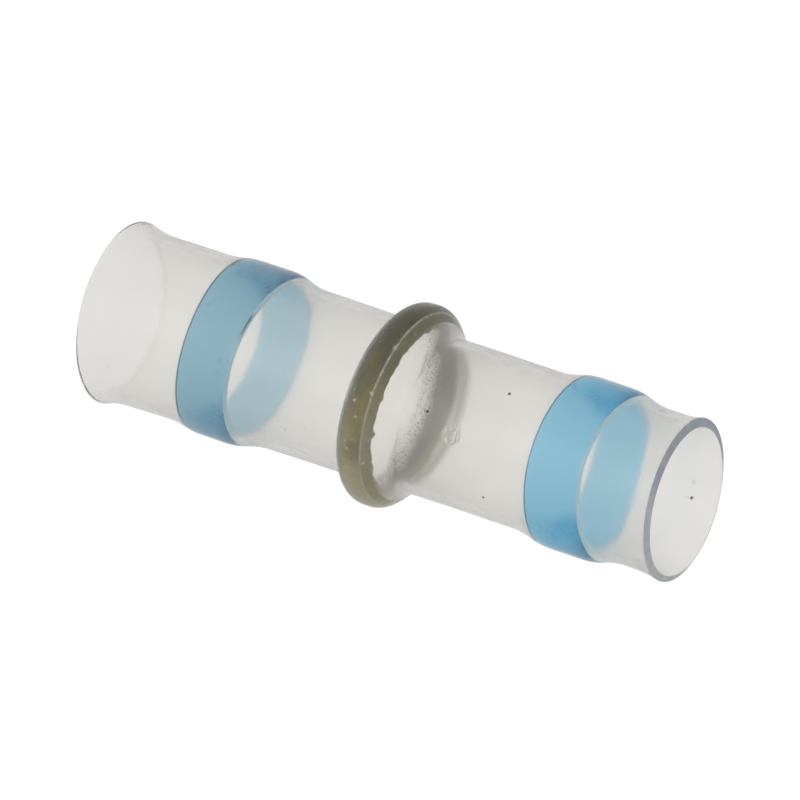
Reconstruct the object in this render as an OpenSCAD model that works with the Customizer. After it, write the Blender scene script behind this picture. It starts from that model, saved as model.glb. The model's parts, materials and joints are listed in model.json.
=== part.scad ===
// Solder sleeve for joining two wires: a clear heat-shrink tube, shrunk over a ring of
// solder at its middle and over a blue sealing ring near each end.
// It stands on its wider end. The origin is at the middle of that end, and +Z runs
// along the tube. All lengths are in millimetres.

/* [Tube] */
// Length of the tube from cut to cut
tube_length = 26.1; // [22:0.1:45]
// Thickness of the tube's wall
wall = 0.32; // [0.2:0.01:0.45]
// Outer diameter between the lower end and the lower sealing ring
lower_tail_d = 7; // [6.4:0.02:7.6]
// Outer diameter between the lower sealing ring and the solder ring
lower_waist_d = 6.74; // [6.2:0.02:7.2]
// Outer diameter between the solder ring and the upper sealing ring
upper_waist_d = 6.52; // [6:0.02:7]
// Outer diameter between the upper sealing ring and the upper end
upper_tail_d = 6.46; // [6:0.02:7]

/* [Flared ends] */
// Length of the stretch that opens out at the lower end
lower_flare_length = 1.4; // [0.8:0.05:2.4]
// How much the radius grows along it
lower_flare_rise = 0.24; // [0.05:0.01:0.4]
// Length of the stretch that opens out at the upper end
upper_flare_length = 1.15; // [0.6:0.05:1.8]
// How much the radius grows along it
upper_flare_rise = 0.155; // [0.05:0.005:0.4]

/* [Sealing rings] */
// Length of each sealing ring along the tube
seal_length = 2.3; // [1.8:0.05:3]
// Thickness of each sealing ring
seal_wall = 0.32; // [0.2:0.01:0.45]
// Outer diameter of the lower sealing ring at its middle
lower_seal_d = 6.72; // [6.4:0.01:7.2]
// Outer diameter of the upper sealing ring at its middle
upper_seal_d = 6.46; // [6.2:0.01:7]
// Distance from the lower end of the tube to the middle of the lower sealing ring
lower_seal_inset = 5.73; // [5:0.01:6.5]
// Distance from the upper end of the tube to the middle of the upper sealing ring
upper_seal_inset = 4.38; // [4.2:0.01:6.5]
// Radius of the rounded shoulders on a sealing ring's outer face
seal_shoulder_r = 2.15; // [1.5:0.05:3]
// Length of each of those shoulders along the tube
seal_shoulder_length = 0.55; // [0.3:0.01:0.8]
// Radius of the hollow where the tube's outside comes down beside a sealing ring
seal_valley_r = 3.7; // [2:0.1:4.5]

/* [Solder ring] */
// Distance from the middle of the tube up to the middle of the solder ring
solder_offset = 0.05; // [-1:0.05:1]
// Length of the solder ring along the tube
solder_length = 1.2; // [1.1:0.05:2]
// Thickness of the solder ring
solder_wall = 0.74; // [0.65:0.01:0.9]
// Outer diameter of the solder ring
solder_d = 7.88; // [7.4:0.02:8.4]
// Radius of the solder ring's outer corners
solder_corner_r = 0.47; // [0.25:0.01:0.5]
// Radius of the solder ring's inner corners
solder_inner_corner_r = 0.12; // [0.05:0.01:0.14]
// Steepest slope of the tube below the solder ring, in degrees from the axis
lower_flank = 78; // [45:1:80]
// Steepest slope of the tube above the solder ring, in degrees from the axis
upper_flank = 47; // [35:1:75]
// Radius of the hollow where the tube's outside comes down below the solder ring
lower_valley_r = 0.22; // [0.1:0.01:1]
// Radius of the hollow where the tube's outside comes down above the solder ring
upper_valley_r = 0.54; // [0.1:0.01:1]

/* [Fit] */
// Gap between the tube's inside and each ring that it is shrunk over
ring_gap = 0.01; // [0.005:0.005:0.03]

/* [Hidden] */
$fn = 96;
arc_steps = 8;

lower_tail_bore = lower_tail_d / 2 - wall;
lower_waist_bore = lower_waist_d / 2 - wall;
upper_waist_bore = upper_waist_d / 2 - wall;
upper_tail_bore = upper_tail_d / 2 - wall;

lower_seal_z = lower_seal_inset;
upper_seal_z = tube_length - upper_seal_inset;
solder_z = tube_length / 2 + solder_offset;

// Half the length of each ring's level outer face, between its shoulders
seal_level = seal_length / 2 - seal_shoulder_length;
solder_level = solder_length / 2 - solder_corner_r;

// Beside a sealing ring the tube's slope has no limit of its own
seal_flank = 90;

lower_seat = lower_seal_d / 2 + ring_gap;
upper_seat = upper_seal_d / 2 + ring_gap;
solder_seat = solder_d / 2 + ring_gap;

function reversed(points) = [for (i = [len(points) - 1 : -1 : 0]) points[i]];

// The tube's surface where it comes down from a ring's level face, at radius seat, to a
// plain stretch, at radius bore: an arc over the ring's shoulder, then an arc the other way
// in the hollow, with a straight flank between them where the slope reaches steepest.
// It starts at height z and runs up for side 1, or down for side -1. The points are [r, z],
// moved out from the tube's inside by out, square to the surface.
function drape(z, side, seat, bore, shoulder, valley, steepest, out) =
    let (
        fall = abs(seat - bore),
        way = seat < bore ? -1 : 1,
        turn = min(steepest, acos(1 - fall / (shoulder + valley))),
        flank = fall - (shoulder + valley) * (1 - cos(turn)),
        straight = turn == steepest,
        run = (shoulder + valley) * sin(turn) + (straight ? flank / tan(turn) : 0)
    )
    concat(
        [for (i = [0 : arc_steps]) let (a = turn * i / arc_steps) [
            seat - way * shoulder * (1 - cos(a)) + out * cos(a),
            z + side * (shoulder + way * out) * sin(a)
        ]],
        [for (i = [arc_steps - (straight ? 0 : 1) : -1 : 0]) let (a = turn * i / arc_steps) [
            bore + way * valley * (1 - cos(a)) + out * cos(a),
            z + side * (run - (valley - way * out) * sin(a))
        ]]
    );

// The tube's surface where an end opens out: one arc that leaves the plain stretch smoothly.
// The cut is square to the wall, so the inner edge of the cut stands furthest out.
function flare(z, side, bore, length, rise, out) =
    let (
        radius = (length * length + rise * rise) / (2 * rise),
        turn = asin(length / radius)
    )
    [for (i = [0 : arc_steps]) let (a = turn * i / arc_steps) [
        bore + radius * (1 - cos(a)) + out * cos(a),
        z - side * length + side * (radius - out) * sin(a)
    ]];

// The whole of the tube's surface from the lower cut to the upper one, moved out by out
function tube_side(out) = concat(
    reversed(flare(0, -1, lower_tail_bore, lower_flare_length, lower_flare_rise, out)),
    reversed(drape(lower_seal_z - seal_level, -1, lower_seat, lower_tail_bore,
        seal_shoulder_r + ring_gap, seal_valley_r + wall, seal_flank, out)),
    drape(lower_seal_z + seal_level, 1, lower_seat, lower_waist_bore,
        seal_shoulder_r + ring_gap, seal_valley_r + wall, seal_flank, out),
    reversed(drape(solder_z - solder_level, -1, solder_seat, lower_waist_bore,
        solder_corner_r + ring_gap, lower_valley_r + wall, lower_flank, out)),
    drape(solder_z + solder_level, 1, solder_seat, upper_waist_bore,
        solder_corner_r + ring_gap, upper_valley_r + wall, upper_flank, out),
    reversed(drape(upper_seal_z - seal_level, -1, upper_seat, upper_waist_bore,
        seal_shoulder_r + ring_gap, seal_valley_r + wall, seal_flank, out)),
    drape(upper_seal_z + seal_level, 1, upper_seat, upper_tail_bore,
        seal_shoulder_r + ring_gap, seal_valley_r + wall, seal_flank, out),
    flare(tube_length, 1, upper_tail_bore, upper_flare_length, upper_flare_rise, out)
);

// Points [r, z] of the arc about the centre [r, z], where angle 0 points away from the axis
function arc(centre, radius, from, to) = [
    for (i = [0 : arc_steps]) let (a = from + (to - from) * i / arc_steps)
        [centre[0] + radius * cos(a), centre[1] + radius * sin(a)]
];

// The clear tube: one wall of even thickness that follows the rings inside it
module sleeve() {
    color([0.86, 0.86, 0.83, 0.45])
        rotate_extrude()
            polygon(concat(tube_side(wall), reversed(tube_side(0))));
}

// A sealing ring: a short length of soft tube, with shoulders that the sleeve has pressed
// round, centred at height z
module seal_ring(outer_d, z) {
    shoulder_turn = asin(seal_shoulder_length / seal_shoulder_r);
    shoulder_centre = outer_d / 2 - seal_shoulder_r;
    inner_r = outer_d / 2 - seal_wall;
    color([0.49, 0.70, 0.80])
        translate([0, 0, z])
            rotate_extrude()
                polygon(concat(
                    [[inner_r, -seal_length / 2]],
                    arc([shoulder_centre, -seal_level], seal_shoulder_r, -shoulder_turn, 0),
                    arc([shoulder_centre, seal_level], seal_shoulder_r, 0, shoulder_turn),
                    [[inner_r, seal_length / 2]]
                ));
}

module lower_seal_ring() {
    seal_ring(lower_seal_d, lower_seal_z);
}

module upper_seal_ring() {
    seal_ring(upper_seal_d, upper_seal_z);
}

// The solder ring: a flat-sided band of solder, with its outer corners well rounded
module solder_ring() {
    outer_centre = solder_d / 2 - solder_corner_r;
    inner_centre = solder_d / 2 - solder_wall + solder_inner_corner_r;
    inner_level = solder_length / 2 - solder_inner_corner_r;
    color([0.42, 0.41, 0.34])
        translate([0, 0, solder_z])
            rotate_extrude()
                polygon(concat(
                    arc([outer_centre, -solder_level], solder_corner_r, -90, 0),
                    arc([outer_centre, solder_level], solder_corner_r, 0, 90),
                    arc([inner_centre, inner_level], solder_inner_corner_r, 90, 180),
                    arc([inner_centre, -inner_level], solder_inner_corner_r, 180, 270)
                ));
}

sleeve();
lower_seal_ring();
upper_seal_ring();
solder_ring();
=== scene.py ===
# %% [markdown]
# A solder sleeve is a short length of clear heat-shrink tube with three rings inside it: a
# ring of solder at the middle and a blue sealing ring near each end. The construction model
# gives the true sizes, and this lesson gives every surface its look. The model stands on
# its wide end at the origin, with +Z along the tube, and it is the first thing to load.

# %% Load the construction model
import json
import math

import bpy
import numpy as np
from mathutils import Matrix, Vector


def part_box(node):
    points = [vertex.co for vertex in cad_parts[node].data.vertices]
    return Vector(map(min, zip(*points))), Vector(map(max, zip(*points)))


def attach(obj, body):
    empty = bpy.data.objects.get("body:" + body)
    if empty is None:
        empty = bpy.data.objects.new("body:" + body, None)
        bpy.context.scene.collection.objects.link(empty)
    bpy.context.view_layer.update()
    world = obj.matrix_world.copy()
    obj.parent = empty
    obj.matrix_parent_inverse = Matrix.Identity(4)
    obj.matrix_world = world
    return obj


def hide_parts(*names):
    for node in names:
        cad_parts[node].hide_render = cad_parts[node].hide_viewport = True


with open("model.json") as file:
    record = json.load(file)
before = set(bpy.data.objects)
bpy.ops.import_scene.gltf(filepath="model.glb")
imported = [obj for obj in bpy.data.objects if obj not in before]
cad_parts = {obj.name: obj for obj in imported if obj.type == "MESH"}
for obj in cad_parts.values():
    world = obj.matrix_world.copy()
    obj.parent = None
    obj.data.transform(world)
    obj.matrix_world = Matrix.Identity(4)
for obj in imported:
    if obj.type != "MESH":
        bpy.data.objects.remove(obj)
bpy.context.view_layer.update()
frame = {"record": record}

MM = 0.001

# %% [markdown]
# Colours and light are judged on the screen, so the picture must show a linear value as
# plain sRGB. The standard view transform does that. The filmic one would grey the white
# background, which has to stay white behind a clear object.

# %% Show colours as plain sRGB
bpy.context.scene.view_settings.view_transform = "Standard"


def srgb(red, green, blue):
    """Screen values from 0 to 255 as a linear colour: below 0.04045 a straight line, above
    it the power 2.4 of the value raised by 0.055 and divided by 1.055."""
    screen = np.array([red, green, blue]) / 255
    linear = np.where(screen < 0.04045, screen / 12.92, ((screen + 0.055) / 1.055) ** 2.4)
    return (*linear.tolist(), 1.0)


# %% [markdown]
# Everything here is round about one axis, so places are given as they are on a lathe: a
# height along the tube, a radius, and an angle round it. The angle starts on the side that
# faces the camera and grows towards +X, which the rolled camera shows at the lower left.

# %% Measure the rings on the construction model


def ring_sizes(node):
    """Bottom, top and outer radius of a round node, in metres, from its box."""
    low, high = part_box(node)
    return low[2], high[2], high[0]


tube_bottom, tube_top, bulge_radius = ring_sizes("sleeve")
lower_seal = ring_sizes("lower_seal_ring")
upper_seal = ring_sizes("upper_seal_ring")
solder = ring_sizes("solder_ring")
mounts = {mount["name"]: mount for mount in frame["record"]["mounts"]}
lower_bore = mounts["lower_wire_entry"]["dims"]["r_mm"] * MM
upper_bore = mounts["upper_wire_entry"]["dims"]["r_mm"] * MM
ring_gap = 0.01 * MM
wall = bulge_radius - solder[2] - ring_gap
print("wall %.3f mm" % (wall / MM))

# %% [markdown]
# The tube has been warmed until it gripped its rings. On the way down from a ring the wall
# bends over the ring's shoulder, may run straight for a little, and bends the other way in
# the hollow. Two arcs and a straight between them say that with few numbers, and the outside
# is the same curve moved out square to the surface, so the wall stays even.

# %% The way down from a ring to a plain stretch

SHOULDER = 2.15 * MM + ring_gap
SHOULDER_LENGTH = 0.55 * MM
SEAL_VALLEY = 3.7 * MM + wall
CORNER = 0.47 * MM
SOLDER_VALLEYS = (0.22 * MM + wall, 0.54 * MM + wall)
FLANKS = (math.radians(78), math.radians(47))
ARC_POINTS = 24


def drape(z, side, seat, bore, shoulder, valley, steepest=math.pi / 2):
    """Radius, height and slope of the inside where it comes down from a ring to the bore.
    The fall is shared by two arcs: it equals the sum of their radii times one minus the
    cosine of the turn. Where that turn would pass the steepest one, a straight flank at the
    steepest slope takes the rest of the fall."""
    turn = min(steepest, math.acos(1 - (seat - bore) / (shoulder + valley)))
    flank = seat - bore - (shoulder + valley) * (1 - math.cos(turn))
    run = (shoulder + valley) * math.sin(turn) + flank / math.tan(turn)
    over, under = np.linspace(0, turn, ARC_POINTS), np.linspace(turn, 0, ARC_POINTS)
    radius = np.r_[seat - shoulder * (1 - np.cos(over)), bore + valley * (1 - np.cos(under))]
    along = np.r_[shoulder * np.sin(over), run - valley * np.sin(under)]
    points = np.c_[radius, z + side * along, side * np.r_[over, under]]
    return points if side > 0 else points[::-1]


def beside_seal(ring, side, bore):
    """The drape on one side of a sealing ring, from the end of its level outer face."""
    end = ring[1] - SHOULDER_LENGTH if side > 0 else ring[0] + SHOULDER_LENGTH
    return drape(end, side, ring[2] + ring_gap, bore, SHOULDER, SEAL_VALLEY)


def beside_solder(side, bore):
    """The drape on one side of the solder ring, which is steeper below than above."""
    end = solder[1] - CORNER if side > 0 else solder[0] + CORNER
    which = 1 if side > 0 else 0
    corner = CORNER + ring_gap
    return drape(end, side, solder[2] + ring_gap, bore, corner, SOLDER_VALLEYS[which], FLANKS[which])


# %% [markdown]
# Two more touches make the path true to the real tube. Its ends open out a little, as they
# do where the cut edge was the last to be warmed, and the bulge over the solder is a little
# shorter than round corners alone would make it. Then the stretches are strung together.

# %% The whole inside of the tube as a path

# radius of the inside between the solder and each sealing ring
LOWER_WAIST = 3.05 * MM
UPPER_WAIST = 2.94 * MM
# length of the stretch that opens out at each end, and how much the radius grows along it
FLARES = ((1.4 * MM, 0.24 * MM), (1.15 * MM, 0.155 * MM))
SQUEEZE = 0.085 * MM
SQUEEZE_REACH = 0.8 * MM


def flare(z, side, bore, length, rise):
    """Radius, height and slope of the inside where an end opens out, as one arc whose
    radius is the length squared plus the rise squared, over twice the rise."""
    radius = (length ** 2 + rise ** 2) / (2 * rise)
    turn = np.linspace(0, math.asin(length / radius), ARC_POINTS)
    along = z - side * length + side * radius * np.sin(turn)
    points = np.c_[bore + radius * (1 - np.cos(turn)), along, -side * turn]
    return points if side > 0 else points[::-1]


def squeezed(height):
    """Heights near the solder, drawn towards its middle: by SQUEEZE times t times the power
    of e to half of one minus t squared, where t is the distance from the middle over
    SQUEEZE_REACH."""
    t = (height - (solder[0] + solder[1]) / 2) / SQUEEZE_REACH
    return height - SQUEEZE * t * np.exp((1 - t ** 2) / 2)


corners = np.concatenate([
    flare(tube_bottom, -1, lower_bore, *FLARES[0]),
    beside_seal(lower_seal, -1, lower_bore),
    beside_seal(lower_seal, 1, LOWER_WAIST),
    beside_solder(-1, LOWER_WAIST),
    beside_solder(1, UPPER_WAIST),
    beside_seal(upper_seal, -1, UPPER_WAIST),
    beside_seal(upper_seal, 1, upper_bore),
    flare(tube_top, 1, upper_bore, *FLARES[1]),
])
corners[:, 1] = squeezed(corners[:, 1])
print("points that shape the tube's inside", len(corners))

# %% [markdown]
# A path is easy to mesh when its points are evenly spaced. They are set closer where the
# wall turns quickly, so that the bulge over the solder stays round. The heights where the
# wall starts and stops touching a ring get a point of their own, because the finish of the
# inside changes there.

# %% Space the points evenly along the wall


def respace(points, spacing, bend_spacing, keep):
    """The same path with even steps: each stretch is as long as its distance plus its turn
    times a bend length, and the points are read off at equal shares of the sum. The heights
    in keep each get a point of their own."""
    step = np.hypot(*np.diff(points[:, :2], axis=0).T)
    cost = step / spacing + np.abs(np.diff(points[:, 2])) / bend_spacing
    total = np.r_[0, np.cumsum(cost)]
    share = np.linspace(0, total[-1], int(math.ceil(total[-1])))
    share = np.union1d(share, np.interp(keep, points[:, 1], total))
    return np.stack([np.interp(share, total, column) for column in points.T], axis=1)


SPACING = 0.2 * MM
BEND_SPACING = math.radians(5)
FLUX_TOP = 13.71 * MM
solder_foot = squeezed(solder[0])
touching = (lower_seal[:2], (solder_foot, FLUX_TOP), upper_seal[:2])
inside = respace(corners, SPACING, BEND_SPACING, np.ravel(touching))
inside[:, 2] = np.arctan2(-np.gradient(inside[:, 0]), np.gradient(inside[:, 1]))
print("rows along the tube", len(inside))

# %% [markdown]
# A cut tube isn't perfect. In the photograph both cuts lean a little, and the wide end has a
# soft kink in its rim. One function moves any point of the tube by its angle and height. The
# inside and the outside use the same function, so the wall keeps its thickness. Everything
# is also lifted by a fifth of a millimetre or more, so that no part of the leaning foot goes
# through the floor.

# %% How the real tube departs from round

# height along the tube, then in mm: the shift up there as its constant and the amounts of
# the cosine, the sine and the cosine of twice the angle, and the growth of the radius there
# as its constant and the amount of the sine
SHIFTS = np.array([
    (0.0, 0.290, -0.130, 0.265, -0.027, 0.050, 0.050),
    (1.6, 0.255, -0.1, 0.1, 0.0, 0.040, 0.040),
    (3.4, 0.25, 0.0, 0.0, 0.0, 0.030, 0.0),
    (4.58, 0.395, -0.084, -0.055, 0.041, 0.030, 0.0),
    (6.88, 0.30, 0.01, -0.19, -0.06, 0.035, 0.0),
    (9.2, 0.25, 0.0, 0.0, 0.0, 0.015, 0.0),
    (12.2, 0.25, 0.0, -0.09, 0.0, -0.020, 0.010),
    (14.0, 0.26, 0.0, -0.09, 0.0, 0.0, 0.010),
    (16.5, 0.25, 0.0, 0.0, 0.0, -0.005, -0.025),
    (20.57, 0.22, 0.0, 0.10, -0.05, 0.0, -0.015),
    (22.87, 0.30, 0.0, 0.15, -0.15, 0.0, 0.0),
    (25.0, 0.29, -0.05, 0.16, 0.0, 0.020, 0.0),
    (26.1, 0.32, -0.045, 0.16, 0.0, 0.030, 0.010),
]) * MM
KINK_ANGLE = math.radians(-27)
KINK_WIDTH = math.radians(9)
KINK_LENGTH = 0.9 * MM
KINK_DEPTH = 0.03 * MM
MOUTH_SHIFT = 0.045 * MM
MOUTH_LENGTH = 0.7 * MM
MOUTH_LIMIT = 2 * MM
MOUTH_OPENED = 0.7
MOUTH_BALANCE = 0.4
# how far the wall wanders, how many times round the tube, and how quickly along it
WANDERS = ((0.012 * MM, 2, 310), (0.008 * MM, 3, -520))


def wrap(angle):
    """An angle brought between minus half a turn and half a turn."""
    return (angle + math.pi) % (2 * math.pi) - math.pi


def bump(distance, reach):
    """A smooth hill: one at its middle, falling as a bell curve with the given reach."""
    return np.exp(-0.5 * (distance / reach) ** 2)


def lean(around, radius, height):
    """Moves points by the tube's small faults. The height is raised by a constant, a cosine,
    a sine and a cosine of twice the angle, and the radius grows by a constant and a sine. The
    amounts are read off the table and run straight between its rows. The kink pulls the rim
    in along a narrow bell curve. At the mouth the bore sits a little to one side, so the wall
    is thicker opposite. Slow sines make the wall wander by a hundredth of a millimetre."""
    level, once, side, twice, growth, sway = (
        np.interp(height, SHIFTS[:, 0], column) for column in SHIFTS.T[1:])
    raised = height + level + once * np.cos(around) + side * np.sin(around)
    raised = raised + twice * np.cos(2 * around)
    kink = bump(wrap(around - KINK_ANGLE), KINK_WIDTH) * bump(height - tube_bottom, KINK_LENGTH)
    outer = upper_bore + wall + MOUTH_OPENED * FLARES[1][1]
    inwards = np.clip((outer - radius) / wall, 0, 1)
    inwards = inwards * bump(np.minimum(tube_top - height, MOUTH_LIMIT), MOUTH_LENGTH)
    off_centre = MOUTH_SHIFT * inwards * (np.sin(around) - MOUTH_BALANCE)
    wander = sum(far * np.sin(times * around + along * height) for far, times, along in WANDERS)
    grown = growth + sway * np.sin(around)
    return radius - KINK_DEPTH * kink + off_centre + wander + grown, raised


# %% [markdown]
# Each piece is a closed band: a section that goes once round the material, carried once
# round the axis. That is a grid whose last row joins its first and whose last column joins
# its first, so there are no poles and no open seams.

# %% Turn a closed section into a mesh


def lathe(name, radius, height, columns, material, shape):
    """A closed mesh from a closed section. The point at column angle a is radius times sine
    of a across, minus radius times cosine of a towards the camera, and height up. The faces
    are turned outwards if the mesh's signed volume comes out below zero."""
    around = np.linspace(0, 2 * math.pi, columns, endpoint=False)[None, :]
    radius, height = radius[:, None] + 0 * around, height[:, None] + 0 * around
    around = around + 0 * radius
    radius, height = shape(around, radius, height)
    points = np.stack([radius * np.sin(around), -radius * np.cos(around), height], axis=-1)
    rows = radius.shape[0]
    index = np.arange(rows * columns).reshape(rows, columns)
    right, down = np.roll(index, -1, axis=1), np.roll(index, -1, axis=0)
    quads = np.stack([index, right, np.roll(right, -1, axis=0), down], axis=-1).reshape(-1, 4)
    flat = points.reshape(-1, 3)
    a, b, c, d = (flat[quads[:, k]] for k in range(4))
    volume = np.einsum("ij,ij->i", a, np.cross(b, c) + np.cross(c, d)).sum() / 6
    if volume < 0:
        quads = quads[:, ::-1]
    mesh = bpy.data.meshes.new(name)
    mesh.from_pydata(flat.tolist(), [], quads.tolist())
    mesh.polygons.foreach_set("use_smooth", np.ones(len(quads), bool))
    mesh.update()
    piece = bpy.data.objects.new(name, mesh)
    bpy.context.scene.collection.objects.link(piece)
    mesh.materials.append(material)
    print("%s: %d faces, %.2f cubic mm" % (name, len(quads), abs(volume) / MM ** 3))
    return piece


# %% [markdown]
# Every finish below is a tree of shader nodes. Written out in full, each node takes several
# lines, so here is a short way to make one: its kind, its inputs and its settings. The other
# helpers are the sums and blends that come up again and again.

# %% Helpers for node trees


def group(name, inputs, outputs):
    """A new shader node group. Each input has a label and a start value, and is a vector if
    that is three numbers. It gives back the tree, and its inputs and outputs by label."""
    tree = bpy.data.node_groups.new(name, "ShaderNodeTree")
    for label, value in inputs.items():
        kind = "NodeSocketVector" if isinstance(value, tuple) else "NodeSocketFloat"
        socket = tree.interface.new_socket(label, in_out="INPUT", socket_type=kind)
        socket.default_value = value
    for label in outputs:
        tree.interface.new_socket(label, in_out="OUTPUT", socket_type="NodeSocketFloat")
    given, out = tree.nodes.new("NodeGroupInput"), tree.nodes.new("NodeGroupOutput")
    return tree, given.outputs, out.inputs


def feed(tree, socket, value):
    """Gives an input its value: a plain one, or a link from a socket."""
    if isinstance(value, bpy.types.NodeSocket):
        tree.links.new(value, socket)
    else:
        socket.default_value = value


def add(tree, kind, inputs=None, **settings):
    """A node of the given kind, which is its type's name without ShaderNode in front. An
    input is a plain value, or a socket to be linked to."""
    node = tree.nodes.new("ShaderNode" + kind)
    for key, value in settings.items():
        setattr(node, key, value)
    for key, value in (inputs or {}).items():
        feed(tree, node.inputs[key], value)
    return node


def math_node(tree, operation, first, second=0.0, clamp=False):
    """The result of one sum on two values or sockets."""
    node = add(tree, "Math", {0: first, 1: second}, operation=operation, use_clamp=clamp)
    return node.outputs[0]


def product(tree, first, *others):
    """All the given values or sockets multiplied together."""
    for other in others:
        first = math_node(tree, "MULTIPLY", first, other)
    return first


def scaled(tree, vector, by):
    """A vector or colour with each of its parts multiplied by that part of another one."""
    return add(tree, "VectorMath", {0: vector, 1: by}, operation="MULTIPLY").outputs[0]


def blend(tree, share, first, second):
    """A colour between two, by a share from 0 to 1."""
    node = add(tree, "Mix", {"Factor": share}, data_type="RGBA")
    feed(tree, node.inputs[6], first)
    feed(tree, node.inputs[7], second)
    return node.outputs[2]


def ramp(tree, value, low, high, start=0.0, end=1.0):
    """A smooth step: start below low, end above high."""
    settings = {"Value": value, "From Min": low, "From Max": high, "To Min": start, "To Max": end}
    node = add(tree, "MapRange", settings, interpolation_type="SMOOTHSTEP")
    return node.outputs["Result"]


def noise(tree, where, scale, detail):
    """A cloudy value round one half. A higher scale makes smaller clouds, and detail adds
    finer ones to them."""
    return add(tree, "TexNoise", {"Vector": where, "Scale": scale, "Detail": detail}).outputs[0]


def dots(tree, where, scale, solid, end):
    """Round dots, one in each cell of a loose pattern, full as far as solid from the middle
    and gone at end. It also gives a number for each cell, from 0 to 1, for choosing some."""
    cells = add(tree, "TexVoronoi", {"Vector": where, "Scale": scale})
    chance = add(tree, "SeparateColor", {"Color": cells.outputs["Color"]})
    return ramp(tree, cells.outputs["Distance"], solid, end, 1.0, 0.0), chance.outputs["Red"]


def object_place(tree):
    """The place on the object, in metres."""
    return add(tree, "TexCoord").outputs["Object"]


def place(tree, name, **inputs):
    """The outputs of a group set down in a material, with its inputs given by label."""
    inputs = {label.replace("_", " "): value for label, value in inputs.items()}
    return add(tree, "Group", inputs, node_tree=bpy.data.node_groups[name]).outputs


def new_material(name):
    """A material, its tree and the inputs of its Principled shader."""
    material = bpy.data.materials.new(name)
    material.use_nodes = True
    tree = material.node_tree
    print("finish", name)
    return material, tree, tree.nodes["Principled BSDF"].inputs


def uneven(tree, shader, height, depth):
    """A relief in the surface, from a height between 0 and about 1 and its depth in metres."""
    relief = add(tree, "Bump", {"Height": height, "Distance": depth})
    tree.links.new(relief.outputs["Normal"], shader["Normal"])


def see_through(shader, ior):
    """A plastic that lets light through, with its index of refraction."""
    shader["IOR"].default_value = ior
    shader["Transmission Weight"].default_value = 1.0


# %% [markdown]
# Five effects are groups with named inputs, so that any finish can use them. The first two
# are about the surface itself. A ripple is the slight unevenness that every moulded or drawn
# plastic has, from two sizes of clouds. Frost is a fine mixture of smooth and dull points:
# most of the light goes straight through, and the rest is scattered, which is how a slightly
# milky plastic stays clear where something touches it.

# %% Shader groups for the surface

tree, given, out = group("Ripple", {"Coarse": 600.0, "Fine": 4000.0, "Fine share": 0.3}, ["Height"])
where = object_place(tree)
coarse = noise(tree, where, given["Coarse"], 2.0)
fine = noise(tree, where, given["Fine"], 3.0)
fine_part = product(tree, fine, given["Fine share"])
tree.links.new(math_node(tree, "ADD", coarse, fine_part), out["Height"])

POINTS_PER_METRE = 2e4
tree, given, out = group("Frost", {"Smooth": 0.15, "Rough": 0.8, "Share": 0.15}, ["Roughness"])
points = scaled(tree, object_place(tree), (POINTS_PER_METRE,) * 3)
grit = add(tree, "TexWhiteNoise", {"Vector": points}).outputs["Value"]
dull = math_node(tree, "LESS_THAN", grit, given["Share"])
spread = math_node(tree, "SUBTRACT", given["Rough"], given["Smooth"])
frosted = product(tree, spread, dull)
tree.links.new(math_node(tree, "ADD", given["Smooth"], frosted), out["Roughness"])
print("groups", [g.name for g in bpy.data.node_groups])

# %% [markdown]
# The other three say where on the tube a point is. A speck is a small round spot with a
# wobbly edge at one place, and a belt is a stretch of the tube by height. The whereabouts
# are the lathe places again: how far sideways and how near the camera's side a point is, both
# from -1 to 1, and its height and radius.

# %% Shader groups for places

tree, given, out = group("Speck", {"Centre": (0.0, 0.0, 0.0), "Radius": 0.1 * MM}, ["Mask"])
where = object_place(tree)
gap = add(tree, "VectorMath", {0: where, 1: given["Centre"]}, operation="DISTANCE")
wobble = math_node(tree, "ADD", noise(tree, where, 9000.0, 1.0), 0.5)
edge = product(tree, given["Radius"], wobble)
soft = add(tree, "MapRange", {
    "Value": math_node(tree, "DIVIDE", gap.outputs["Value"], edge),
    "From Min": 0.7, "From Max": 1.3, "To Min": 1.0, "To Max": 0.0,
})
tree.links.new(soft.outputs[0], out["Mask"])

tree, given, out = group("Belt", {"Middle": 13 * MM, "Half": 1 * MM, "Soft": 0.5 * MM}, ["Mask"])
height = add(tree, "SeparateXYZ", {"Vector": object_place(tree)}).outputs["Z"]
off = math_node(tree, "ABSOLUTE", math_node(tree, "SUBTRACT", height, given["Middle"]))
past = math_node(tree, "SUBTRACT", off, given["Half"])
fade = math_node(tree, "DIVIDE", past, given["Soft"], clamp=True)
tree.links.new(math_node(tree, "SUBTRACT", 1.0, fade), out["Mask"])

tree, given, out = group("Whereabouts", {}, ["Sideways", "Nearness", "Height", "Radius"])
where = object_place(tree)
parts = add(tree, "SeparateXYZ", {"Vector": where})
flat = scaled(tree, where, (1.0, 1.0, 0.0))
reach = add(tree, "VectorMath", {0: flat}, operation="LENGTH").outputs["Value"]
tree.links.new(math_node(tree, "DIVIDE", parts.outputs["X"], reach), out["Sideways"])
nearness = math_node(tree, "DIVIDE", parts.outputs["Y"], reach)
tree.links.new(product(tree, nearness, -1.0), out["Nearness"])
tree.links.new(parts.outputs["Z"], out["Height"])
tree.links.new(reach, out["Radius"])
print("groups", [g.name for g in bpy.data.node_groups])

# %% [markdown]
# The clear plastic passes most light and scatters it a little, so the ring that touches the
# wall looks sharp and the far side of the tube looks soft. A rough glass does exactly that:
# the blur grows with the distance behind it. A small round dimple above the solder is part
# of the relief.

# %% Clear tube: surface

TUBE_TINT = (0.985, 0.972, 0.942, 1.0)
TUBE_IOR = 1.45
TUBE_RELIEF = 0.03 * MM
DIMPLE_RADIUS = 0.32 * MM
DIMPLE_RISE = 0.55


def at(angle, radius, height):
    """A point from its angle in degrees, and its radius and height in millimetres."""
    turn = math.radians(angle)
    return (radius * MM * math.sin(turn), -radius * MM * math.cos(turn), height * MM)


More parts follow.
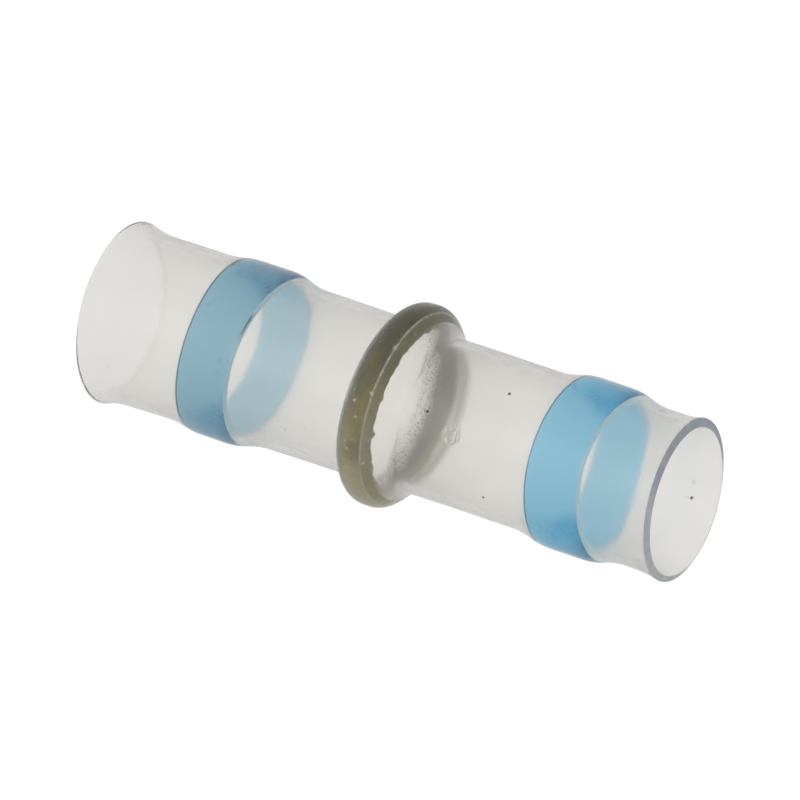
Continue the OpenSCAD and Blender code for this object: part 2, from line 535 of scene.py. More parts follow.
clear, tree, shader = new_material("clear_tube")
ripple = place(tree, "Ripple", Coarse=450.0, Fine=7000.0, Fine_share=0.04)
dimple = place(tree, "Speck", Centre=at(9, 3.26, 17.2), Radius=DIMPLE_RADIUS)
height = math_node(tree, "ADD", ripple["Height"], product(tree, dimple["Mask"], DIMPLE_RISE))
uneven(tree, shader, height, TUBE_RELIEF)
frost = place(tree, "Frost", Smooth=0.14, Rough=0.8, Share=0.16)
tree.links.new(frost["Roughness"], shader["Roughness"])
see_through(shader, TUBE_IOR)

# %% [markdown]
# On the side of the camera a curved belt of fine grains lies in the wall above the solder:
# small bumps whose dark look is painted shade. Dots in a loose pattern make them, and about
# half of the cells stay empty. A few larger specks of dirt have their own places, and the
# clear end by the mouth is a shade duller than the rest. All of it is one mask that darkens
# the plastic's own tint.

# %% Clear tube: grains in painted shade, and dirt

GRAINS_HEIGHT = 13.12 * MM
GRAINS_BEND = 2.7 * MM
GRAINS_HALF = 0.2 * MM
GRAINS_SOFT = 0.5 * MM
GRAINS_EMPTY = 0.45
GRAINS_SHADE = 0.78
END_DULL = 0.03
END_FADE = (23.0 * MM, 23.8 * MM)
DIRT_AND_SHADE = (0.02, 0.02, 0.02, 1.0)
# specks and smudges: angle in degrees, radius and height in mm, their own radius in mm, and
# how dark they are
SPECKS = [
    (-1.3, 3.26, 15.93, 0.07, 1.0), (-33, 3.26, 18.84, 0.065, 1.0), (49, 3.25, 18.93, 0.06, 1.0),
    (183.4, 2.90, 25.32, 0.08, 1.0), (182.9, 2.90, 25.16, 0.06, 0.5),
    (182.3, 2.90, 25.05, 0.05, 0.35), (195.7, 2.90, 25.24, 0.11, 0.2),
    (223.8, 2.93, 26.27, 0.09, 0.2), (-71.5, 3.25, 24.6, 0.17, 0.35),
    (-20.9, 3.70, 5.44, 0.12, 0.12), (10.8, 3.70, 6.81, 0.14, 0.12),
    (17.3, 3.70, 6.82, 0.12, 0.12), (41.6, 3.70, 6.75, 0.14, 0.12),
    (45.5, 3.38, 9.88, 0.08, 0.3), (38.8, 3.38, 10.82, 0.07, 0.15),
    (-52.8, 3.55, 1.53, 0.10, 0.10), (39.4, 3.58, 1.80, 0.10, 0.10),
]
spot = place(tree, "Whereabouts")
middle = math_node(tree, "ADD", product(tree, spot["Nearness"], GRAINS_BEND), GRAINS_HEIGHT)
belt = place(tree, "Belt", Middle=middle, Half=GRAINS_HALF, Soft=GRAINS_SOFT)
grains, chance = dots(tree, object_place(tree), 9500.0, 0.15, 0.42)
kept = math_node(tree, "GREATER_THAN", chance, GRAINS_EMPTY)
in_front = ramp(tree, spot["Nearness"], 0.25, 0.5)
# painted shade: the grains are darkened in place of the light that the small bumps bend
dirt_and_grain_shade = product(tree, grains, belt["Mask"], in_front, kept, GRAINS_SHADE)
for angle, radius, height, size, dark in SPECKS:
    speck = place(tree, "Speck", Centre=at(angle, radius, height), Radius=size * MM)
    dirt_and_grain_shade = math_node(tree, "MAXIMUM", product(tree, speck["Mask"], dark), dirt_and_grain_shade)
end_dull = ramp(tree, spot["Height"], *END_FADE, 0.0, END_DULL)
dirt_and_grain_shade = math_node(tree, "ADD", dirt_and_grain_shade, end_dull)
tree.links.new(blend(tree, dirt_and_grain_shade, TUBE_TINT, DIRT_AND_SHADE), shader["Base Color"])
print("specks on the tube", len(SPECKS))

# %% [markdown]
# The two cuts and the inside need finishes of their own. At the mouth the blade has torn the
# plastic a little, so that cut is a matt grey band, paler towards the lower side. At the back
# it is painted palest, a painted light where the cut faces away from the light. The cut of the
# wide end is smooth and shows only as a hairline. Where the wall is shrunk hard onto a ring
# there is no air between them, and light passes on without a reflection, so there the inner
# face is left out of the light's way with alpha 0.

# %% The cuts and the gripped wall

SLICED_RELIEF = 0.002 * MM

cut, tree, shader = new_material("cut_face")
ripple = place(tree, "Ripple", Coarse=2500.0, Fine=12000.0, Fine_share=0.5)
spot = place(tree, "Whereabouts")
grey = blend(tree, ripple["Height"], srgb(114, 121, 129), srgb(154, 160, 167))
pale = blend(tree, ripple["Height"], srgb(134, 140, 144), srgb(176, 180, 182))
tone = blend(tree, ramp(tree, spot["Sideways"], -0.3, 0.4), grey, pale)
# painted light: towards the back the cut is painted near white, where it faces away from the light
behind = math_node(tree, "SUBTRACT", spot["Nearness"], product(tree, spot["Sideways"], 0.15))
tone = blend(tree, ramp(tree, behind, -0.8, -0.6), srgb(212, 213, 211), tone)
tree.links.new(tone, shader["Base Color"])
shader["Roughness"].default_value = 0.5

sliced, tree, shader = new_material("clear_cut")
ripple = place(tree, "Ripple", Coarse=2500.0, Fine=12000.0, Fine_share=0.5)
uneven(tree, shader, ripple["Height"], SLICED_RELIEF)
shader["Base Color"].default_value = TUBE_TINT
shader["Roughness"].default_value = 0.03
see_through(shader, TUBE_IOR)

gripped, tree, shader = new_material("wetted_wall")
shader["Base Color"].default_value = TUBE_TINT
shader["Alpha"].default_value = 0.0

# %% [markdown]
# The tube's section runs up the outside, over the upper cut, down the inside and over the
# lower cut. Each cut has small rounded edges, which catch the light as a hairline. The upper
# cut is bevelled, as a cut through a tube that was squeezed flat comes out.

# %% The tube's closed section

EDGE = 0.035 * MM
MOUTH_CUT = math.radians(26)
EDGE_POINTS = 5
CUT_POINTS = 8


def moved_out(path, out):
    """Radius and height of the path moved out square to the surface: the cosine of the
    slope goes to the radius and its sine to the height."""
    return path[:, 0] + out * np.cos(path[:, 2]), path[:, 1] + out * np.sin(path[:, 2])


def cut_face(radius, height, slope, thick, side):
    """The cut across the wall at one end, from the outside in, with both edges rounded. The
    distance across runs the wall's thickness, and the face stands back by the edge radius at
    each corner along a quarter circle."""
    turn = np.linspace(0, math.pi / 2, EDGE_POINTS)
    level = np.linspace(thick - EDGE, EDGE, CUT_POINTS)[1:-1]
    across = np.r_[thick - EDGE + EDGE * np.cos(turn), level, EDGE - EDGE * np.sin(turn)]
    back = np.r_[EDGE - EDGE * np.sin(turn), np.zeros(CUT_POINTS - 2), EDGE - EDGE * np.cos(turn)]
    along = -side * back
    return (radius + across * math.cos(slope) - along * math.sin(slope),
            height + across * math.sin(slope) + along * math.cos(slope))


mouth_wall = wall / math.cos(MOUTH_CUT + inside[-1, 2])
outer_r, outer_z = moved_out(inside[1:-1], wall)
inner_r, inner_z = moved_out(inside[1:-1][::-1], 0)
top_r, top_z = cut_face(*inside[-1, :2], -MOUTH_CUT, mouth_wall, 1)
foot_r, foot_z = cut_face(*inside[0], wall, -1)
section_r = np.r_[outer_r, top_r, inner_r, foot_r[::-1]]
section_z = np.r_[outer_z, top_z, inner_z, foot_z[::-1]]
print("points round the tube's section", len(section_r))

# %% [markdown]
# Each row of faces takes one finish, by its place along the section: clear plastic to start
# with, then the two cuts, and the inner face over each stretch that touches a ring.

# %% The clear tube

TUBE_COLUMNS = 180
CUT_FINISH, GRIPPED_FINISH, SLICED_FINISH = 1, 2, 3

tube = lathe("clear_sleeve", section_r, section_z, TUBE_COLUMNS, clear, lean)
for material in (cut, gripped, sliced):
    tube.data.materials.append(material)
finish = np.zeros(len(section_r), int)
finish[len(outer_r) + 1:len(outer_r) + len(top_r) - 2] = CUT_FINISH
finish[1 - len(foot_r):] = SLICED_FINISH
first = len(outer_r) + len(top_r)
middles = (inner_z[:-1] + inner_z[1:]) / 2
held = np.any([(middles > low) & (middles < high) for low, high in touching], axis=0)
finish[first:first + len(held)][held] = GRIPPED_FINISH
tube.data.polygons.foreach_set("material_index", np.repeat(finish, TUBE_COLUMNS))
print("rows of each finish", np.bincount(finish).tolist())
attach(tube, "root")
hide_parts("sleeve")

# %% [markdown]
# The sealing rings are a waxy blue plastic that lets light through. Real dye darkens with
# the length of the way through it, so the colour is set as absorption inside the solid, and
# where the near and the far side of a ring overlap, it looks deeper. The skin adds a tint of
# its own, and painted shade on top: the far side is tinted darker than the near side, and the
# upper edge darker, most in red. The outer face is in touch with the tube, so it has alpha 0,
# by an attribute of the mesh.

# %% Blue plastic of the sealing rings

SEAL_IOR = 1.48
SEAL_RELIEF = 0.04 * MM
WHITE = (1.0, 1.0, 1.0, 1.0)
# painted shade: the upper edge of each ring is darkened, most in red
UPPER_EDGE_SHADE = (0.66, 0.93, 0.98, 1.0)


def seal_material(name, near_tint, far_shade_tint, absorb, density):
    """Waxy plastic with dye inside: the light left after a path is the power of e to minus
    the density times the path times one minus the colour. The tint of the skin runs from
    far_shade_tint to near_tint with the nearness, a painted shade on the far side, and is
    multiplied by a painted shade at the upper edge."""
    material, tree, shader = new_material(name)
    ripple = place(tree, "Ripple", Coarse=500.0, Fine=6000.0, Fine_share=0.15)
    uneven(tree, shader, ripple["Height"], SEAL_RELIEF)
    spot = place(tree, "Whereabouts")
    # painted shade: the far side of the ring is tinted darker than the near side
    tint = blend(tree, ramp(tree, spot["Nearness"], 0.3, 0.75), far_shade_tint, near_tint)
    edge_shade = ramp(tree, spot["Sideways"], -0.9, -0.79, 1.0, 0.0)
    tint = scaled(tree, tint, blend(tree, edge_shade, WHITE, UPPER_EDGE_SHADE))
    tree.links.new(tint, shader["Base Color"])
    see_through(shader, SEAL_IOR)
    shader["Roughness"].default_value = 0.3
    bonded = add(tree, "Attribute", attribute_name="bonded").outputs["Fac"]
    tree.links.new(math_node(tree, "LESS_THAN", bonded, 0.5), shader["Alpha"])
    dye = add(tree, "VolumeAbsorption", {"Color": absorb, "Density": density})
    tree.links.new(dye.outputs[0], tree.nodes["Material Output"].inputs["Volume"])
    return material


# %% [markdown]
# The upper end of each ring shows as a pale, matt hairline, a painted light in place of the
# bright light seen through the ring's end. On the lower ring a short stretch of it, which
# stands clear of the wall, is painted dark as shade.

# %% Painted light on the upper end of a sealing ring

# the painted shade shows only on the end's outer part
END_SHADE_RADIUS = 3.25 * MM

painted_end, tree, shader = new_material("painted_light_end")
ripple = place(tree, "Ripple", Coarse=1500.0, Fine=9000.0, Fine_share=0.5)
# painted light: a pale tone in place of the bright light seen through the ring's end
tone = blend(tree, ripple["Height"], srgb(178, 224, 248), srgb(206, 240, 254))
spot = place(tree, "Whereabouts")
# painted shade: a darker stretch on the lower ring's end
end_shade = product(
    tree,
    ramp(tree, spot["Sideways"], -0.45, -0.42),
    ramp(tree, spot["Sideways"], -0.24, -0.12, 1.0, 0.0),
    math_node(tree, "GREATER_THAN", spot["Nearness"], 0.0),
    math_node(tree, "LESS_THAN", spot["Height"], solder[0]),
    math_node(tree, "GREATER_THAN", spot["Radius"], END_SHADE_RADIUS),
)
tree.links.new(blend(tree, end_shade, tone, srgb(96, 136, 150)), shader["Base Color"])
shader["Roughness"].default_value = 0.6

# %% [markdown]
# A sealing ring is a short length of soft tube that the sleeve has pressed round at both
# shoulders. Its section is worked out for the upper half and mirrored for the lower half.

# %% Section of a sealing ring

SEAL_WALL = 0.32 * MM
SEAL_EDGE = 0.03 * MM
SEAL_SHIFT = 0.04 * MM
SEAL_BELLY = 0.03 * MM
# the bore's faults fade out over this much of the radius
BORE_FADE = 0.1 * MM
SHOULDER_POINTS = 10
SHOULDER_TURN = math.asin(SHOULDER_LENGTH / SHOULDER)
SHOULDER_FALL = SHOULDER * (1 - math.cos(SHOULDER_TURN))


def seal_section(ring):
    """The closed section of a sealing ring: a level outer face between two arc shoulders,
    square ends with small rounded edges, and a straight inside."""
    bottom, top, outer = ring
    inner = outer - SEAL_WALL
    turn = np.linspace(0, SHOULDER_TURN, SHOULDER_POINTS)
    shoulder_r = outer - SHOULDER * (1 - np.cos(turn))
    shoulder_z = top - SHOULDER_LENGTH + SHOULDER * np.sin(turn)
    edge = np.linspace(0, math.pi / 2, EDGE_POINTS)
    outer_edge_r = shoulder_r[-1] - SEAL_EDGE * (1 - np.cos(edge))
    inner_edge_r = inner + SEAL_EDGE * (1 - np.sin(edge))
    outer_edge_z = top - SEAL_EDGE + SEAL_EDGE * np.sin(edge)
    inner_edge_z = top - SEAL_EDGE * (1 - np.cos(edge))
    upper_r = np.r_[shoulder_r[:-1], outer_edge_r, inner_edge_r, inner]
    upper_z = np.r_[shoulder_z[:-1], outer_edge_z, inner_edge_z, top - SHOULDER_LENGTH]
    return np.r_[upper_r, upper_r[::-1]], np.r_[upper_z, bottom + top - upper_z[::-1]]


def pressed(around, radius, height):
    """The faults of the tube, and an uneven ring. Its inner face moves in by a cosine of the
    angle for the lower ring, whose bore sits a little to the far side, and for both by the
    square of the cosine on the side of the camera, less half as much all round."""
    inner = np.clip((upper_seal[2] - BORE_FADE - radius) / BORE_FADE, 0, 1)
    near = np.cos(around)
    belly = SEAL_BELLY * (np.clip(near, 0, 1) ** 2 - 0.5)
    return lean(around, radius - inner * (SEAL_SHIFT * near * (height < solder[0]) + belly), height)


# %% [markdown]
# Both rings come from the same functions and differ in their sizes and their colours. The
# lower one is the greyer blue of the two.

# %% The two sealing rings

SEAL_COLUMNS = 192
TOUCH_SLACK = 0.004 * MM
# for each ring: its node, its sizes, the near tint and the far tint, which is painted darker as
# shade, the dye and its density
SEALS = {
    "lower_seal": ("lower_seal_ring", lower_seal, (0.445, 0.69, 0.81, 1.0), (0.43, 0.69, 0.81, 1.0),
                   (0.0, 0.49, 0.71, 1.0), 1700.0),
    "upper_seal": ("upper_seal_ring", upper_seal, (0.42, 0.69, 0.92, 1.0), (0.29, 0.63, 0.88, 1.0),
                   (0.0, 0.705, 0.916, 1.0), 1900.0),
}
for name, (node, ring, near_tint, far_shade_tint, absorb, density) in SEALS.items():
    plastic = seal_material(name, near_tint, far_shade_tint, absorb, density)
    section_r, section_z = seal_section(ring)
    seal = lathe(name, section_r, section_z, SEAL_COLUMNS, plastic, pressed)
    outer_face = section_r > ring[2] - SHOULDER_FALL - TOUCH_SLACK
    bonded = seal.data.attributes.new("bonded", "FLOAT", "POINT")
    bonded.data.foreach_set("value", np.repeat(outer_face, SEAL_COLUMNS).astype(float))
    seal.data.materials.append(painted_end)
    end_points = section_z > ring[1] - 1.01 * SEAL_EDGE
    end_face = (end_points & np.roll(end_points, -1)).astype(int)
    seal.data.polygons.foreach_set("material_index", np.repeat(end_face, SEAL_COLUMNS))
    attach(seal, "root")
    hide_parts(node)

# %% [markdown]
# The solder ring is a dull, soft metal under a brownish film of flux, and nearly all that
# one sees is the film. It is painted dark olive on the upper side, as painted shade, darkest at
# the uppermost side, and turns to a lighter amber towards the lower side, as painted light,
# lightest at the lowest side. Soft clouds choose between a darker and a lighter tone of each,
# and on the amber fine streaks along the tube join in.

# %% Flux on the outside of the solder

FLUX_RELIEF = 0.08 * MM
OLIVE = ((0.10, 0.097, 0.04, 1), (0.22, 0.19, 0.07, 1))
AMBER = ((0.24, 0.22, 0.13, 1), (0.43, 0.37, 0.19, 1))
SHADED_OLIVE = (0.085, 0.08, 0.04, 1)
LIT_AMBER = (0.50, 0.45, 0.29, 1)

flux, tree, shader = new_material("solder")
ripple = place(tree, "Ripple", Coarse=900.0, Fine=6000.0, Fine_share=0.4)
uneven(tree, shader, ripple["Height"], FLUX_RELIEF)
shader["Metallic"].default_value = 0.4
shader["Roughness"].default_value = 0.42

spot = place(tree, "Whereabouts")
sideways = spot["Sideways"]
where = object_place(tree)
patches = noise(tree, where, 700.0, 5.0)
streaks = noise(tree, scaled(tree, where, (1.0, 1.0, 0.12)), 6500.0, 3.0)
mixed = math_node(tree, "ADD", product(tree, streaks, 0.5), product(tree, patches, 0.5))
# painted shade: the upper side is dark olive, darkest at the uppermost side
shaded_upper_tone = blend(tree, ramp(tree, patches, 0.38, 0.62), *OLIVE)
shaded_upper_tone = blend(tree, ramp(tree, sideways, -0.75, -0.4), SHADED_OLIVE, shaded_upper_tone)
# painted light: the lower side is a lighter amber, lightest at the lowest side
lit_lower_tone = blend(tree, ramp(tree, mixed, 0.42, 0.6), *AMBER)
tone = blend(tree, ramp(tree, sideways, 0.1, 0.65), shaded_upper_tone, lit_lower_tone)
tone = blend(tree, ramp(tree, sideways, 0.6, 0.85, 0.0, 0.5), tone, LIT_AMBER)

# %% [markdown]
# Above the solder the film ends in a collar, painted darker as shade on its upper side and
# lighter as light on its lower side, and browner at the lowest side. A pale, beaded ridge, a
# painted highlight, runs where the collar starts, a little higher on one side than on the
# other, so its height is measured from a level that leans. Below, a thin grey line, a painted
# reflection, follows the ring's lower corner.

# %% Flux on the collar, the ridge and the lower corner

RIDGE = 13.68 * MM
RIDGE_LEAN = 0.09 * MM
RIDGE_HALF = (0.01 * MM, 0.045 * MM)
RIDGE_HIGHLIGHT = (0.64, 0.64, 0.56, 1)
COLLAR_LOW = (0.31, 0.30, 0.24, 1)
COLLAR_HIGH = (0.36, 0.32, 0.16, 1)
COLLAR_PATCH = (0.23, 0.22, 0.14, 1)
COLLAR_SHADE = (0.21, 0.20, 0.11, 1)
COLLAR_LIT = (0.42, 0.40, 0.29, 1)
COLLAR_BROWN = (0.27, 0.25, 0.14, 1)
FOOT_REFLECTION_GREY = (0.33, 0.33, 0.27, 1)
FOOT_FADE = (12.86 * MM, 13.08 * MM)

level = math_node(tree, "ADD", spot["Height"], product(tree, sideways, RIDGE_LEAN))
upwards = ramp(tree, level, RIDGE + 0.06 * MM, RIDGE + 0.2 * MM)
collar = blend(tree, upwards, COLLAR_LOW, COLLAR_HIGH)
collar = blend(tree, ramp(tree, patches, 0.3, 0.6), COLLAR_PATCH, collar)
# painted shade: the upper side of the collar is darker
collar = blend(tree, ramp(tree, sideways, -0.85, 0.6), COLLAR_SHADE, collar)
# painted light: the lower side of the collar is lighter
collar = blend(tree, ramp(tree, sideways, 0.2, 0.55, 0.0, 0.6), collar, COLLAR_LIT)
collar = blend(tree, ramp(tree, sideways, 0.6, 0.8, 0.0, 0.6), collar, COLLAR_BROWN)
on_collar = ramp(tree, level, RIDGE - 0.02 * MM, RIDGE + 0.04 * MM, 0.0, 0.8)
tone = blend(tree, on_collar, tone, collar)
# painted reflection: a pale grey line along the ring's lower corner
foot_reflection = ramp(tree, spot["Height"], *FOOT_FADE, 0.6, 0.0)
foot_reflection = product(tree, foot_reflection, ramp(tree, sideways, -0.3, 0.4, 0.15, 1.0))
tone = blend(tree, foot_reflection, tone, FOOT_REFLECTION_GREY)
from_ridge = math_node(tree, "ABSOLUTE", math_node(tree, "SUBTRACT", level, RIDGE))
# painted highlight: a pale, beaded line along the ridge
highlight_beads = ramp(tree, noise(tree, where, 16000.0, 1.0), 0.45, 0.58, 0.22, 1.0)
ridge_highlight = product(tree, ramp(tree, from_ridge, *RIDGE_HALF, 1.0, 0.0), highlight_beads)
ridge_highlight = product(tree, ridge_highlight, ramp(tree, sideways, -0.2, 0.35, 1.0, 0.6))
tone = blend(tree, ridge_highlight, tone, RIDGE_HIGHLIGHT)

# %% [markdown]
# Pale flecks, painted glints, are scattered over the film, and the largest, painted highlights,
# have their own places. The inside of the ring shows through the far wall as a soft grey band,
# with its light and shade painted: pale at its lower edge, where the rounded solder is painted
# as lit from below, it turns dark higher up, and higher still at the sides, and a painted
# reflection makes it a little lighter at the back and towards the sides.

# %% Painted glints in the flux and painted light on the inside of the solder

SPARKLES_KEPT = 0.84
SPARKLE_PALE = (0.55, 0.55, 0.48, 1)
INSIDE_LIT_PALE = (0.78, 0.77, 0.71, 1)
INSIDE_SHADE_DARK = (0.15, 0.15, 0.145, 1)
INSIDE_SHEEN_GREY = (0.205, 0.205, 0.198, 1)
# heights between which the inside turns dark, as painted shade, how much higher that is at the
# sides, and the radii between which the inside gives way to the flux
INSIDE_SHADE_FADE = (12.90 * MM, 13.34 * MM)
INSIDE_SHADE_SIDES = 0.6 * MM
INSIDE_RADII = (3.28 * MM, 3.36 * MM)
# painted highlights on the flux: angle in degrees, radius and height in mm, and their own radius
GLINTS = [
    (-53.4, 3.9, 13.05, 0.07), (67.6, 3.9, 12.95, 0.11), (3.3, 3.85, 12.85, 0.09),
    (6.0, 3.93, 13.08, 0.09), (43.7, 3.8, 13.72, 0.07), (-0.9, 3.88, 13.66, 0.07),
    (-31.5, 3.85, 13.7, 0.08), (-52.0, 3.85, 13.6, 0.05),
]
# painted highlights: pale flecks and the listed glints stand in for sparkles of light
sparkle_flecks, chance = dots(tree, where, 4000.0, 0.1, 0.27)
pale = product(tree, sparkle_flecks, math_node(tree, "GREATER_THAN", chance, SPARKLES_KEPT))
for angle, radius, height, size in GLINTS:
    glint = place(tree, "Speck", Centre=at(angle, radius, height), Radius=size * MM)
    pale = math_node(tree, "MAXIMUM", glint["Mask"], pale)
tone = blend(tree, pale, tone, SPARKLE_PALE)

# painted light and shade on the inside: pale at the lower edge as if lit from below, dark higher up,
# and a painted reflection makes it lighter at the back and the sides
within = ramp(tree, spot["Radius"], *INSIDE_RADII, 1.0, 0.0)
aside = math_node(tree, "SUBTRACT", 1.0, math_node(tree, "ABSOLUTE", spot["Nearness"]))
at_back = ramp(tree, spot["Nearness"], -0.93, -0.995)
lighter = math_node(tree, "MAXIMUM", ramp(tree, aside, 0.08, 0.45), at_back)
dark = blend(tree, lighter, INSIDE_SHADE_DARK, INSIDE_SHEEN_GREY)
rise = math_node(tree, "SUBTRACT", spot["Height"], product(tree, aside, INSIDE_SHADE_SIDES))
inside_light_and_shade = blend(tree, ramp(tree, rise, *INSIDE_SHADE_FADE), INSIDE_LIT_PALE, dark)
tree.links.new(blend(tree, within, tone, inside_light_and_shade), shader["Base Color"])
print("nodes in the solder's finish", len(tree.nodes))

# %% [markdown]
# The ring and its flux are one closed section, since the flux is a coat that can't be taken
# off. It fills the corner between the ring and the tube and ends above in a hollow bevel.

# %% Section of the solder with its flux

SOLDER_WALL = 0.74 * MM
INNER_CORNER = (0.25 * MM, 0.4 * MM)
BEVEL_DEPTH = 0.45 * MM
BEVEL_POWER = 1.2
BEVEL_STRAIGHT = 0.35
CORNER_POINTS = 10
WALL_POINTS = 24


def solder_section():
    """The closed section of the solder ring with its collar of flux. The lower outer corner
    is a quarter circle and the lower inner one a quarter ellipse. Above, the flux follows the
    tube's inside as far as FLUX_TOP and comes back to the ring's inside in a hollow bevel:
    there the radius goes with a power of the sine of a quarter turn, and the height with one
    minus its cosine and a straight share."""
    bottom, top, outer = solder
    inner = outer - SOLDER_WALL
    across, along = INNER_CORNER
    turn = np.linspace(0, math.pi / 2, CORNER_POINTS)
    lower_r = np.r_[inner + across * (1 - np.cos(turn)), outer - CORNER * (1 - np.sin(turn))]
    lower_z = np.r_[bottom + along * (1 - np.sin(turn)), bottom + CORNER * (1 - np.cos(turn))]
    wall_z = np.linspace(squeezed(top - CORNER), FLUX_TOP, WALL_POINTS)
    wall_r = np.interp(wall_z, corners[:, 1], corners[:, 0]) - ring_gap
    share = np.linspace(0, 1, CORNER_POINTS)[1:]
    quarter = share * math.pi / 2
    fall_r = wall_r[-1] + (inner - wall_r[-1]) * np.sin(quarter) ** BEVEL_POWER
    fall_z = FLUX_TOP - BEVEL_DEPTH * (1 - np.cos(quarter) + BEVEL_STRAIGHT * share)
    upper_r, upper_z = np.r_[wall_r, fall_r], np.r_[wall_z, fall_z]
    return np.r_[lower_r, upper_r], np.r_[squeezed(lower_z), upper_z]


# %% [markdown]
# Flux runs while it is hot and chips once it is cold, so its upper edge is never a clean
# circle. The points near that edge are moved along the tube's inside by slow waves, which
# start at angles drawn with a fixed seed, and by a few notches at their own places.

# %% The ragged edge of the flux

RAG_DEPTH = 0.022 * MM
RAG_REACH = 0.25 * MM
RAG_SIDES = 0.04 * MM
# the lower part of the bevel and the ring's inside, below this radius, stay smooth
RAG_RADIUS = 3.45 * MM
RAG_FADE = 0.1 * MM
# waves round the edge: how many, where they start, and how deep they are
WAVE_COUNTS = (7, 11, 17, 29, 43, 61)
WAVE_SHARES = (0.5, 0.4, 0.7, 0.6, 0.5, 0.4)
rng = np.random.default_rng(12)
WAVES = list(zip(WAVE_COUNTS, rng.uniform(0, 6.28, len(WAVE_COUNTS)), WAVE_SHARES))
# notches in the edge: angle and reach in degrees, and how far the edge is moved up in mm
NOTCHES = [
    (5, 1.4, -0.05), (18.2, 1.2, -0.09), (24.5, 2.6, 0.05), (30.8, 2.0, -0.13), (-14, 1.2, -0.04),
    (41, 1.0, -0.03),
]


def ragged(around, radius, height):
    """The ring's small faults: those of the tube, and a ragged upper edge. The edge moves
    along the tube's inside by a sum of sines of the angle, by a little more at the two sides,
    and by a few notches shaped as bell curves. Only the last quarter of a millimetre below
    the edge takes part."""
    share = np.clip((height - FLUX_TOP) / RAG_REACH + 1, 0, 1)
    share = share * np.clip((radius - RAG_RADIUS) / RAG_FADE, 0, 1)
    waves = RAG_DEPTH * sum(deep * np.sin(count * around + start) for count, start, deep in WAVES)
    notches = sum(up * MM * bump(wrap(around - math.radians(angle)), math.radians(reach))
                  for angle, reach, up in NOTCHES)
    moved = share * (waves + notches + RAG_SIDES * (1 - np.cos(2 * around)))
    return lean(around, radius - moved * math.tan(FLANKS[1]), height + moved)


# %% [markdown]
# The notches are only a degree or two wide, so this ring takes more columns round the axis
# than the others do.

# %% The solder ring

SOLDER_COLUMNS = 640

band = lathe("solder_band", *solder_section(), SOLDER_COLUMNS, flux, ragged)
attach(band, "root")
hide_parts("solder_ring")

# %% [markdown]
# The photograph was taken from far away with the tube lying down. Here the tube stands, so
# the camera looks down on it by the angle at which the mouth turns to the lens, and is
# rolled until the tube points right and a little down. A narrow lens from far away keeps
# parallel lines parallel, as in the photograph.

# %% Camera

TILT = math.radians(24.0)
SLOPE = math.radians(18.6)
PIXEL = 0.04 * MM
PICTURE = 800
# the picture's place, in pixels, where the axis of the tube is AXIS_HEIGHT above the floor
AXIS_PIXEL = (419.48, 410.86)
AXIS_HEIGHT = 14.16 * MM
HALF_VIEW = math.radians(1.5)
HALF_SENSOR = 18

back = Vector((0, -math.cos(TILT), math.sin(TILT)))
axis_up = Vector((0, math.sin(TILT), math.cos(TILT)))
side_on = Vector((1, 0, 0))
right = axis_up * math.cos(SLOPE) - side_on * math.sin(SLOPE)
up = -axis_up * math.sin(SLOPE) - side_on * math.cos(SLOPE)
offset = right * (AXIS_PIXEL[0] - PICTURE / 2) - up * (AXIS_PIXEL[1] - PICTURE / 2)
target = Vector((0, 0, AXIS_HEIGHT)) - offset * PIXEL
distance = PICTURE / 2 * PIXEL / math.tan(HALF_VIEW)

lens = bpy.data.cameras.new("camera")
lens.sensor_width = 2 * HALF_SENSOR
lens.lens = HALF_SENSOR / math.tan(HALF_VIEW)
lens.clip_start, lens.clip_end = 0.01, 10
camera = bpy.data.objects.new("camera", lens)
bpy.context.scene.collection.objects.link(camera)
turned = Matrix((right, up, back)).transposed().to_4x4()
camera.matrix_world = Matrix.Translation(target + back * distance) @ turned
bpy.context.scene.camera = camera
print("camera %.2f m away" % distance)

# %% [markdown]
# The studio is a white floor that glows a little and an even, soft light from all round.
# The camera sees the floor as pure white, as in the photograph. The clear plastic sees it
# slightly darker, which is what gives a clear thing its grey tone on white. The floor just in
# front of the tube is a little brighter, as it is where a studio lamp stands behind the
# camera.

# %% Floor

FLOOR = 1.5
FLOOR_GLOW = 0.72
FRONT_GLOW = 0.4
FRONT_SPREAD = (0.86, 1.0)
FRONT_STARTS = (4.5 * MM, 9 * MM)

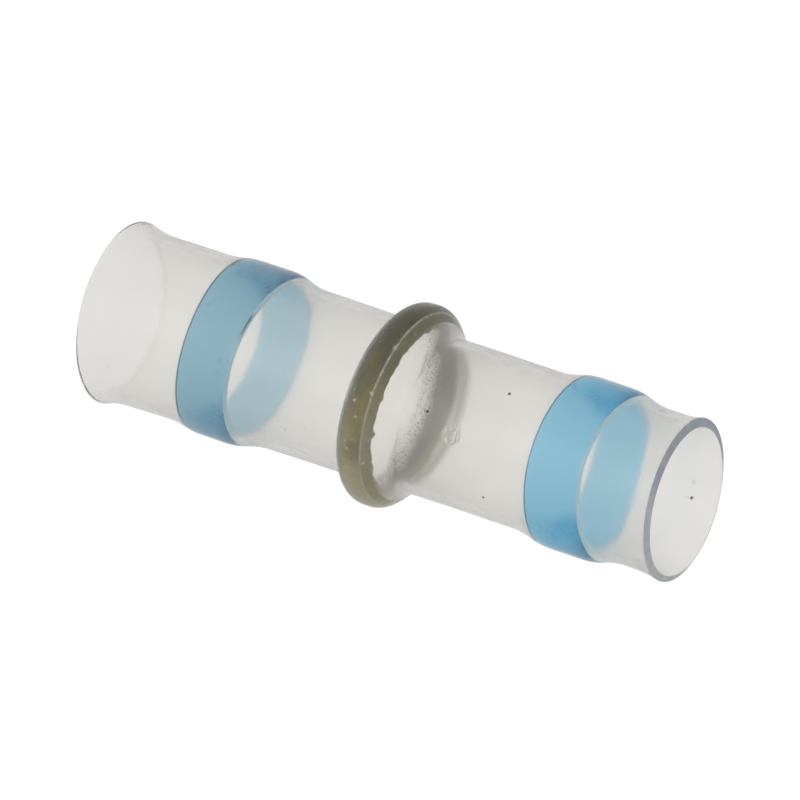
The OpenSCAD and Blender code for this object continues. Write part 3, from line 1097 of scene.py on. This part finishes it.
floor_mesh = bpy.data.meshes.new("floor")
around_floor = ((-1, -1), (1, -1), (1, 1), (-1, 1))
floor_mesh.from_pydata([(FLOOR * x, FLOOR * y, 0) for x, y in around_floor], [], [(0, 1, 2, 3)])
floor = bpy.data.objects.new("floor", floor_mesh)
bpy.context.scene.collection.objects.link(floor)
white, tree, shader = new_material("floor_white")
shader["Base Color"].default_value = (0.1, 0.1, 0.1, 1.0)
shader["Roughness"].default_value = 1.0
shader["Specular IOR Level"].default_value = 0.0
shader["Emission Color"].default_value = WHITE
spot = place(tree, "Whereabouts")
ahead = ramp(tree, spot["Nearness"], *FRONT_SPREAD)
ahead = product(tree, ahead, ramp(tree, spot["Radius"], *FRONT_STARTS))
front = math_node(tree, "ADD", product(tree, ahead, FRONT_GLOW), FLOOR_GLOW)
seen = add(tree, "LightPath").outputs["Is Camera Ray"]
glow = add(tree, "MapRange", {"Value": seen, "To Min": front, "To Max": 1.0})
tree.links.new(glow.outputs[0], shader["Emission Strength"])
floor_mesh.materials.append(white)

# %% [markdown]
# A clear thing is drawn by what stands round it, so the light comes from everywhere and no
# lamp shows as a spot in the plastic. A studio would add a large softbox above the camera.
# Here it is a smooth, brighter patch in the light from all round, and it gives the upper
# side of the solder a broad sheen.

# %% Soft light from all round, and a softbox

WORLD_GLOW = 0.75
SOFTBOX_GLOW = 0.35
SOFTBOX = math.radians(30)
# cosine of the angle from the softbox's middle where its glow begins, and where it is full
SOFTBOX_EDGE = (0.75, 0.98)

world = bpy.data.worlds.new("studio")
bpy.context.scene.world = world
world.use_nodes = True
tree = world.node_tree
sky = tree.nodes["Background"]
sky.inputs["Color"].default_value = WHITE
direction = add(tree, "TexCoord").outputs["Generated"]
lamp_side = (0.0, -math.cos(SOFTBOX), math.sin(SOFTBOX))
towards = add(tree, "VectorMath", {0: direction, 1: lamp_side}, operation="DOT_PRODUCT")
brightest = WORLD_GLOW + SOFTBOX_GLOW
lamp = ramp(tree, towards.outputs["Value"], *SOFTBOX_EDGE, WORLD_GLOW, brightest)
tree.links.new(lamp, sky.inputs["Strength"])
print("light from all round %.2f, softbox %.2f" % (WORLD_GLOW, brightest))
